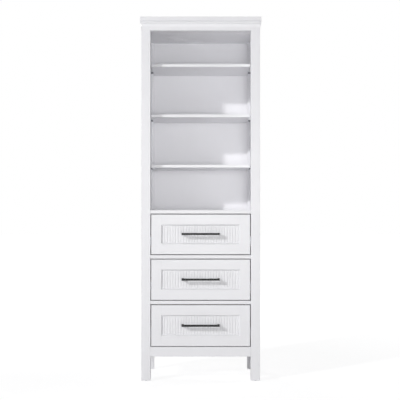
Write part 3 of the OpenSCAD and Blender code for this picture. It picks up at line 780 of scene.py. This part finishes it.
def reeded_panel(n):
    """The reeds' depth over the width, closed round the back and carried up from tongue to
    tongue, with a flat tongue below it and one above."""
    low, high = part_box(f"drawer_{n}_panel")
    half_field = high.x - PANEL_TONGUE
    x = np.linspace(-half_field, half_field, REEDS * POINTS_PER_REED + 1)
    crest_y, back = low.y, high.y
    tongue_y = back - PANEL_T
    face = np.stack([x, crest_y + reed_depth(x, half_field)], -1)
    behind = [[half_field, tongue_y], [high.x, tongue_y], [high.x, back], [low.x, back],
              [low.x, tongue_y], [-half_field, tongue_y]]
    wide, deep = np.concatenate([face, behind]).T
    foot, head = low.z + PANEL_TONGUE, high.z - PANEL_TONGUE
    field = carried(places(wide, deep, np.array([[foot], [head]])))
    tongues = [eased_box((low.x, tongue_y, z0), (high.x, back, z1), TONGUE_EASE, steps=1)
               for z0, z1 in ((low.z, foot), (head, high.z))]
    return make_piece(f"reeded_panel_{n}", [field] + tongues, smooth_to=40)


print("a panel has", REEDS, "reeds,", REED_H / MM, "mm high")

# %% Drawer frames and their panels
FRAME_EASE = 1.0 * MM
for n in DRAWERS:
    eased(f"drawer_{n}_frame", FRAME_EASE, paint_across, segments=3)
    dress(reeded_panel(n), f"drawer_{n}_panel", paint_upright)
print("three fronts, frames eased to", FRAME_EASE / MM, "mm")

# %% [markdown]
# ## Bar pulls
# A pull is one square bar with two square feet, mitred and welded, then powder coated.
# Three boxes pushed together would show no mitre and no weld. So a rounded square is
# carried through four cutting planes: the feet's ends are square to them and the two
# corners are cut at 45 degrees. A Bevel modifier softens the mitres.

# %% Bar pulls
BAR, BAR_EASE, MITRE_EASE = 10 * MM, 0.9 * MM, 0.7 * MM
MITRE_ANGLE = math.radians(50)


def rounded_square(half, radius, steps=3):
    """A square of twice the half width, whose corners are quarter circles."""
    turn, corner = corner_turns(steps)
    return corner * (half - radius) + radius * np.stack([np.cos(turn), np.sin(turn)], -1)


def bar_pull(n):
    """The section's first axis leans with the path: at a mitre it is drawn out along both legs."""
    low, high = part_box(f"drawer_{n}_handle")
    wide, up = rounded_square(BAR / 2, BAR_EASE).T
    foot = high.x - BAR / 2
    front = low.y + BAR / 2
    at_drawer = np.full(wide.size, high.y)
    x = np.stack([-foot - wide, -foot - wide, foot + wide, foot + wide])
    y = np.stack([at_drawer, front - wide, front - wide, at_drawer])
    stations = places(x, y, (low.z + high.z) / 2 + up)
    pull = make_piece(f"bar_pull_{n}", [carried(stations)], smooth_to=50)
    soft = pull.modifiers.new("soft_mitres", "BEVEL")
    soft.limit_method = "ANGLE"
    soft.angle_limit = MITRE_ANGLE
    soft.width = MITRE_EASE
    soft.segments = 2
    weigh_normals(pull)
    return pull


for n in DRAWERS:
    dress(bar_pull(n), f"drawer_{n}_handle", black_coat)

# %% [markdown]
# ## Drawer boxes
# The boxes are birch plywood. New boards would need their grooves cut again, so sides
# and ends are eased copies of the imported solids, which have them. The bottoms lie in
# the grooves and show no edge, so they keep their solids and only take the plywood.

# %% Drawer boxes
SIDE_EASE, END_EASE = 0.8 * MM, 0.6 * MM
for n in DRAWERS:
    eased(f"drawer_{n}_sides", SIDE_EASE, birch_sides)
    eased(f"drawer_{n}_ends", END_EASE, birch_ends)
    coat(nodes[f"drawer_{n}_bottom"], birch_flat)
print("three boxes in plywood")

# %% [markdown]
# ## Slides
# Birch strips bring the slides out to the line of the posts. A slide is three steel
# channels, one in the other, and each is rolled from strip, so its bends are round
# inside and out. Solidify would thicken a bent sheet, but the strip's whole outline,
# carried along the slide, gives the wall an exact thickness and closed ends. The outer
# channels stay with the cabinet, the inner ones go with the drawer and the middle ones
# go half as far.

# %% Slides
SLIDE_Y, SLIDE_L, SLIDE_H = FACE + 25 * MM, 300 * MM, 45 * MM
SLIDE_T, SLIDE_WALL, BEND_R, NEST = 12.7 * MM, 1.2 * MM, 2.2 * MM, 1.55 * MM
STRIP_EASE = 0.8 * MM
WEB_LIP_HEIGHT = {
    "outer": (0, 10 * MM, SLIDE_H),
    "middle": (3.4 * MM, 11.1 * MM, SLIDE_H - 2 * NEST),
    "inner": (SLIDE_T, 5.0 * MM, SLIDE_H - 4 * NEST),
}
slide_zs = [centre_of(f"drawer_{n}_runners").z for n in DRAWERS]


def channel_skin(web, lip, height, radius, inset, steps=5):
    """One skin of a channel as distance from the posts' line and height: a lip's edge, a round
    of the given radius about the bend's centre, and the same mirrored for the upper half."""
    way = math.copysign(1, lip - web)
    a = np.linspace(0, math.pi / 2, steps + 1)
    bend = np.stack([web + way * (BEND_R - radius * np.sin(a)),
                     BEND_R - radius * np.cos(a) - height / 2], -1)
    lower = np.concatenate([[[lip, inset - height / 2]], bend])
    return np.concatenate([lower, (lower * [1, -1])[::-1]])


def channel_pair(kind, z):
    """The left and the right channel of one drawer: outer skin, then back along the inner."""
    size = WEB_LIP_HEIGHT[kind]
    outside = channel_skin(*size, BEND_R, 0)
    inside = channel_skin(*size, BEND_R - SLIDE_WALL, SLIDE_WALL)
    u, v = np.concatenate([outside, inside[::-1]]).T
    y = np.array([[SLIDE_Y], [SLIDE_Y + SLIDE_L]])
    return [carried(places(side * (OPEN_X - u), y, z + v)) for side in LEFT_AND_RIGHT]


eased("slide_packings", STRIP_EASE, birch_sides)
fixed_channels = [shell for z in slide_zs for shell in channel_pair("outer", z)]
dress(make_piece("fixed_channels", fixed_channels), "slides_outer", zinc_drawn)
for n, z in zip(DRAWERS, slide_zs):
    middle = make_piece(f"middle_channels_{n}", channel_pair("middle", z))
    dress(middle, f"slide_middle_{n}", zinc_drawn)
    inner = make_piece(f"drawer_channels_{n}", channel_pair("inner", z))
    dress(inner, f"drawer_{n}_runners", zinc_drawn)
print("channels at heights", [round(z, 3) for z in slide_zs])

# %% [markdown]
# ## Screws
# A pan head is a shallow dome with a cross pressed into it. A boolean could press it
# in, but on so many small heads that is slow and leaves poor faces. Here the dome is
# a height over the disc, and the cross is taken away from that height, so one grid of
# radius and angle makes the whole head. The shank is a lathe form.

# %% Pan-head screws
HEAD_R, SEAT_R, SEAT_T = 4 * MM, 3.92 * MM, 0.01 * MM
RECESS_D, RECESS_L, RECESS_W = 0.9 * MM, 2.1 * MM, 0.55 * MM
RECESS_END_SLOPE, RECESS_SIDE_SLOPE, RECESS_MARGIN = 0.6 * MM, 0.3 * MM, 0.25 * MM
SLIDE_SCREW = {"shank_r": 1.75 * MM, "head_h": 1.6 * MM, "length": 11.2 * MM}
PULL_SCREW = {"shank_r": 2 * MM, "head_h": 2.4 * MM, "length": 35.5 * MM}
FRONT_SCREW = {"shank_r": 2 * MM, "head_h": 2.4 * MM, "length": 22 * MM}


def cross_bar(lengthways, sideways):
    """One bar of the cross: 1 on its floor, falling to 0 over its sloped ends and sides."""
    in_length = (RECESS_L - np.abs(lengthways)) / RECESS_END_SLOPE
    in_width = (RECESS_W + RECESS_MARGIN - np.abs(sideways)) / RECESS_SIDE_SLOPE
    return np.clip(in_length, 0, 1) * np.clip(in_width, 0, 1)


def pan_head(radius, height, rings=11, sides=48):
    """Height h sqrt(1 - (r/R)^4) over the disc, less a cross whose bars have sloped walls."""
    r = np.linspace(0, 1, rings)[::-1, None] ** 0.8
    turn = np.arange(sides) * 2 * math.pi / sides
    x, y = radius * r * np.cos(turn), radius * r * np.sin(turn)
    cross = np.maximum(cross_bar(x, y), cross_bar(y, x))
    return x, y, height * np.sqrt(1 - r**4) - min(RECESS_D, 0.6 * height) * cross


def pan_screw(spot, axis, way, shank_r, head_h, length):
    """A screw whose head rises against the axis's way from the spot. Its shank goes on from
    a thin seat under the head, and ends in a cone."""
    x, y, rise = pan_head(HEAD_R, head_h)
    head = in_axes(-way * rise, x, y, axis) + np.array(spot)
    shank = [(0, 0), (SEAT_R, 0), (SEAT_R, SEAT_T), (shank_r, SEAT_T),
             (shank_r, length - shank_r), (0, length)]
    return [carried(head), turned(shank, spot, axis, way, sides=16)]


print("a screw for the slides is", SLIDE_SCREW["length"] / MM, "mm long under its head")

# %% Screws of the slides and drawers
SCREW_FROM_END = 37 * MM
PULL_SCREW_X, FRONT_SCREW_X, FRONT_SCREW_FROM_EDGE = 90 * MM, 213.4 * MM, 30 * MM
BOX_FRONT = FACE + 32 * MM
screw_ys = (SLIDE_Y + SCREW_FROM_END, SLIDE_Y + SLIDE_L - SCREW_FROM_END)


def slide_screws(x, z, way):
    """The four screws of one pair of channels, x from the middle, pointing out or in."""
    return [shell for side in LEFT_AND_RIGHT for y in screw_ys
            for shell in pan_screw((side * x, y, z), "x", way * side, **SLIDE_SCREW)]


def drawer_screws(n, z):
    """The screws of one drawer: two for the pull, four for the front, four for the runners."""
    low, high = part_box(f"drawer_{n}_sides")
    pull_z = centre_of(f"drawer_{n}_handle").z
    shells = []
    for side in LEFT_AND_RIGHT:
        shells += pan_screw((side * PULL_SCREW_X, BOX_FRONT, pull_z), "y", -1, **PULL_SCREW)
        for front_z in (low.z + FRONT_SCREW_FROM_EDGE, high.z - FRONT_SCREW_FROM_EDGE):
            spot = (side * FRONT_SCREW_X, BOX_FRONT, front_z)
            shells += pan_screw(spot, "y", -1, **FRONT_SCREW)
    return shells + slide_screws(OPEN_X - SLIDE_T + SLIDE_WALL, z, -1)


fixed_screws = [shell for z in slide_zs for shell in slide_screws(OPEN_X - SLIDE_WALL, z, 1)]
dress(make_piece("channel_screws", fixed_screws), "slide_screws", zinc_headed)
for n, z in zip(DRAWERS, slide_zs):
    screws = make_piece(f"drawer_screws_{n}", drawer_screws(n, z))
    dress(screws, f"drawer_{n}_screws", zinc_headed)
coat(nodes["cap_screws"], zinc_headed)
print(len(fixed_screws) // 2, "screws hold the channels to the cabinet")

# %% [markdown]
# ## Foot glides
# A glide is a nylon disc with a round lower edge on a steel nail, tapped into the foot.
# It could be a cylinder with a bevel and a second one on top. As all of it is round,
# one lathe profile makes disc, edge, nail and point together.

# %% Foot glides
GLIDE_R, GLIDE_H, GLIDE_EDGE = 11 * MM, 3 * MM, 1.2 * MM
NAIL_R, NAIL_TIP = 1.25 * MM, 18 * MM


def glide(x, y):
    """Disc with a quarter-round lower edge, and the nail that holds it in the foot."""
    a = np.linspace(0, math.pi / 2, 6)
    edge = np.stack([GLIDE_R - GLIDE_EDGE * (1 - np.sin(a)), GLIDE_EDGE * (1 - np.cos(a))], -1)
    nail = [[GLIDE_R, GLIDE_H], [NAIL_R, GLIDE_H], [NAIL_R, NAIL_TIP - NAIL_R], [0, NAIL_TIP]]
    return turned(np.concatenate([[[0, 0]], edge, nail]), (x, y, 0), "z", sides=40)


low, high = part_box("foot_glides")
glides = [glide(x, y) for x in (low.x + GLIDE_R, high.x - GLIDE_R)
          for y in (low.y + GLIDE_R, high.y - GLIDE_R)]
dress(make_piece("nylon_glides", glides), "foot_glides", black_nylon)
print(len(glides), "glides")

# %% [markdown]
# ## Floor
# The cabinet stands on white paper, which a real studio lights until it is pure white.
# Lamps that strong would burn out the paint as well. So for the camera, and for what
# glossy and clear surfaces mirror, the floor adds a glow of its own, weaker round the
# cabinet and full from a few metres away: it reads as white paper and still keeps the
# cabinet's shadow. For all other rays it is plain pale paper.

# %% Floor
FLOOR_REACH = 30.0
PAPER_DARK, PAPER_LIGHT = (0.80,) * 3, (0.84,) * 3
DIMMED_PAPER = (0.28, 0.28, 0.285, 1)
GLOW_NEAR, GLOW_FAR = (0.855,) * 3, (1.0,) * 3
GLOW_STARTS, GLOW_FULL = 1.0, 5.0


def watched(tree):
    """1 for rays that come from the camera or through a mirroring or clear surface, else 0."""
    path = add(tree, "LightPath").outputs
    mirrored = combine(tree, path["Is Camera Ray"], path["Is Glossy Ray"], "MAXIMUM")
    return combine(tree, mirrored, path["Is Transmission Ray"], "MAXIMUM")


def white_paper(name):
    """Pale paper with a fibre noise; to the camera, dimmed paper plus a glow by distance."""
    material, tree, shader, place = open_material(name)
    tree.nodes.remove(shader)
    fibre = noise(tree, place["Object"], 60.0, detail=3.0)
    plain = add(tree, "BsdfDiffuse", {"Color": mix_tones(tree, fibre, PAPER_DARK, PAPER_LIGHT)})
    dimmed = add(tree, "BsdfDiffuse", {"Color": DIMMED_PAPER})
    distance = add(tree, "VectorMath", {0: place["Object"]}, operation="LENGTH").outputs["Value"]
    sweep = spread(tree, distance, 0.0, 1.0, start=GLOW_STARTS, end=GLOW_FULL)
    glow = add(tree, "Emission", {"Color": mix_tones(tree, sweep, GLOW_NEAR, GLOW_FAR)})
    seen = add(tree, "AddShader", {0: dimmed.outputs[0], 1: glow.outputs[0]})
    both = add(tree, "MixShader", {0: watched(tree), 1: plain.outputs[0], 2: seen.outputs[0]})
    fill_inputs(tree, tree.nodes["Material Output"], {"Surface": both.outputs[0]})
    return material


floor_mesh = bpy.data.meshes.new("studio_floor")
square = ((-1, -1), (1, -1), (1, 1), (-1, 1))
floor_corners = [(x * FLOOR_REACH, y * FLOOR_REACH, 0) for x, y in square]
floor_mesh.from_pydata(floor_corners, [], [(0, 1, 2, 3)])
floor = bpy.data.objects.new("studio_floor", floor_mesh)
scene.collection.objects.link(floor)
floor_mesh.materials.append(white_paper("white_paper"))
print("floor of", 2 * FLOOR_REACH, "m")

# %% [markdown]
# ## Light
# In the photograph a crisp shadow of the left post falls across the bays, and their
# backs are bright all the same. A sun with a bright sky could give the shadow, but the
# sky's light dies away inside a cabinet. So the key is a small lamp far off, high on
# the left, and round banks straight in front reach deep into the bays. More banks on
# the right, at the side and at the back keep those faces readable from any angle. The
# white surround is for the camera, and its own light is very weak.

# %% Lamps
MIDDLE_OF_FRONT = Vector((0, FACE, 0.95))


def lamp(name, direction, distance, energy, size):
    """A round lamp that looks at the middle of the front from a direction, some metres away."""
    light = bpy.data.objects.new(name, bpy.data.lights.new(name, "AREA"))
    scene.collection.objects.link(light)
    towards = Vector(direction).normalized()
    light.location = MIDDLE_OF_FRONT + towards * distance
    light.rotation_euler = towards.to_track_quat("Z", "Y").to_euler()
    light.data.energy = energy
    light.data.size = size
    light.data.shape = "DISK"
    return light


lamps = [
    lamp("key", (-1.13, -1.0, 0.64), 9.14, energy=385, size=0.4),
    lamp("front_bank", (0.06, -1, 0.0), 4.6, energy=57, size=1.3),
    lamp("near_bank", (0.0, -1, 0.06), 2.24, energy=1.5, size=0.6),
    lamp("right_bank", (0.6, -1, 0.1), 4.5, energy=6, size=1.6),
    lamp("side_bank", (1, 0.3, 0.28), 4.2, energy=46, size=1.6),
    lamp("rear_bank", (-0.35, 1, 0.28), 4.2, energy=50, size=1.6),
]
print("lamps:", ", ".join(light.name for light in lamps))

# %% Surround
FILL_TINT, FILL = (0.985, 0.99, 1.0, 1), 0.03
world = bpy.data.worlds.new("white_surround")
world.use_nodes = True
scene.world = world
sky = world.node_tree
sky.nodes.clear()
white = add(sky, "Background", {"Color": (1, 1, 1, 1), "Strength": 1.0})
fill = add(sky, "Background", {"Color": FILL_TINT, "Strength": FILL})
both = add(sky, "MixShader", {0: watched(sky), 1: fill.outputs[0], 2: white.outputs[0]})
add(sky, "OutputWorld", {"Surface": both.outputs[0]})
scene.view_settings.view_transform = "Standard"
print("surround fills with a strength of", FILL)
